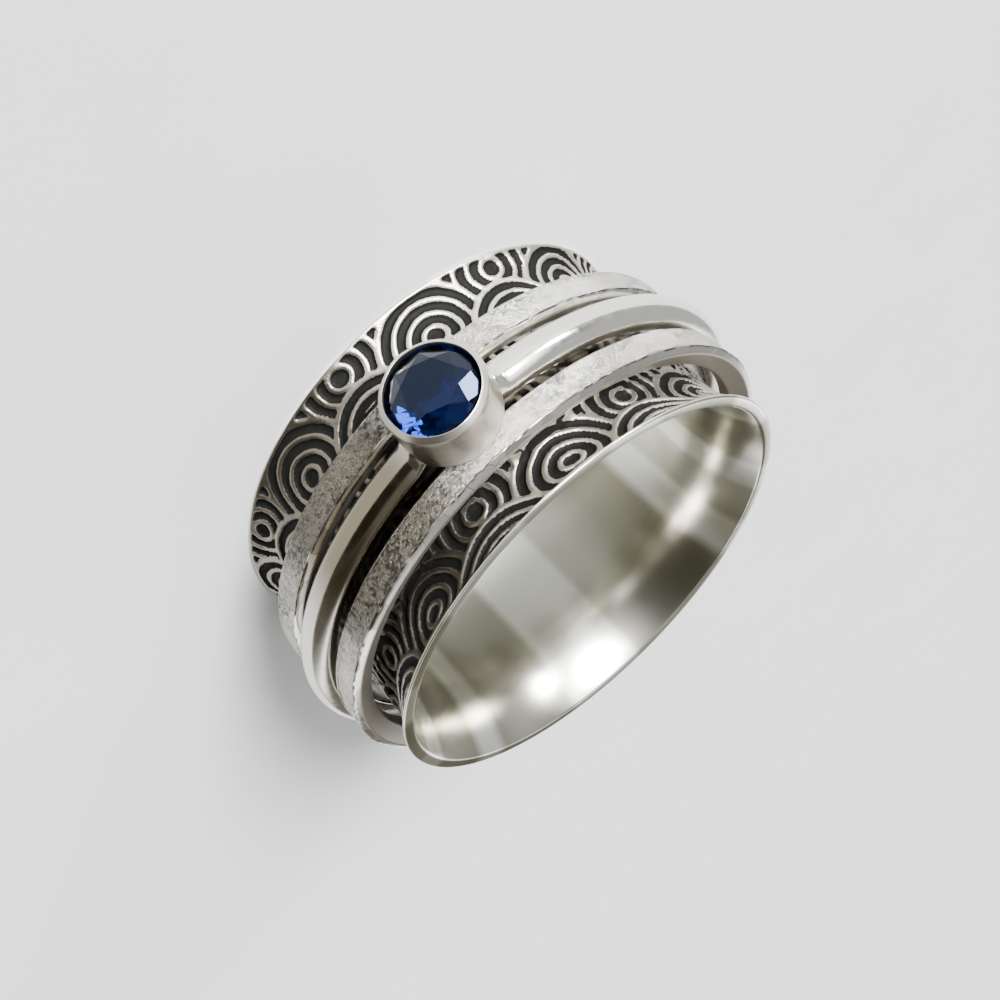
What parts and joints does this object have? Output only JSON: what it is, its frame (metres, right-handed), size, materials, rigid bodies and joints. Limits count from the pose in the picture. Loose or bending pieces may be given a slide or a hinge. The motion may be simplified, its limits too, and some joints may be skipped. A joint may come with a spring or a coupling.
{
  "type": "spinner ring",
  "caption": "Wide silver finger ring with flared rims and wave relief, carrying two textured bands and a half-round band with a bezel-set blue stone, all three free to spin.",
  "frame": {"origin": "centre of the finger hole, halfway along its length", "axes": "+Z along the finger hole towards the front rim; the back rim is underneath when the ring lies on its side; -Y points to the stone at rest"},
  "size_m": [0.0254, 0.0279, 0.0116],
  "materials": {
    "band_silver": "sterling silver, raised lines polished, grooves blackened",
    "textured_silver": "sterling silver, finely textured face with polished edges",
    "polished_silver": "sterling silver, polished",
    "sapphire": "faceted, deep blue"
  },
  "bodies": {
    "band": {"base_band": "band_silver"},
    "back_ring": {"back_spinner": "textured_silver"},
    "stone_ring": {"middle_spinner": "polished_silver", "sapphire": "sapphire"},
    "front_ring": {"front_spinner": "textured_silver"}
  },
  "joints": [
    {"name": "back_spin", "type": "hinge", "parent": "band", "child": "back_ring", "pos_m": [0, 0, 0], "axis": [0, 0, 1], "continuous": true},
    {"name": "stone_spin", "type": "hinge", "parent": "band", "child": "stone_ring", "pos_m": [0, 0, 0], "axis": [0, 0, 1], "continuous": true},
    {"name": "front_spin", "type": "hinge", "parent": "band", "child": "front_ring", "pos_m": [0, 0, 0], "axis": [0, 0, 1], "continuous": true}
  ]
}
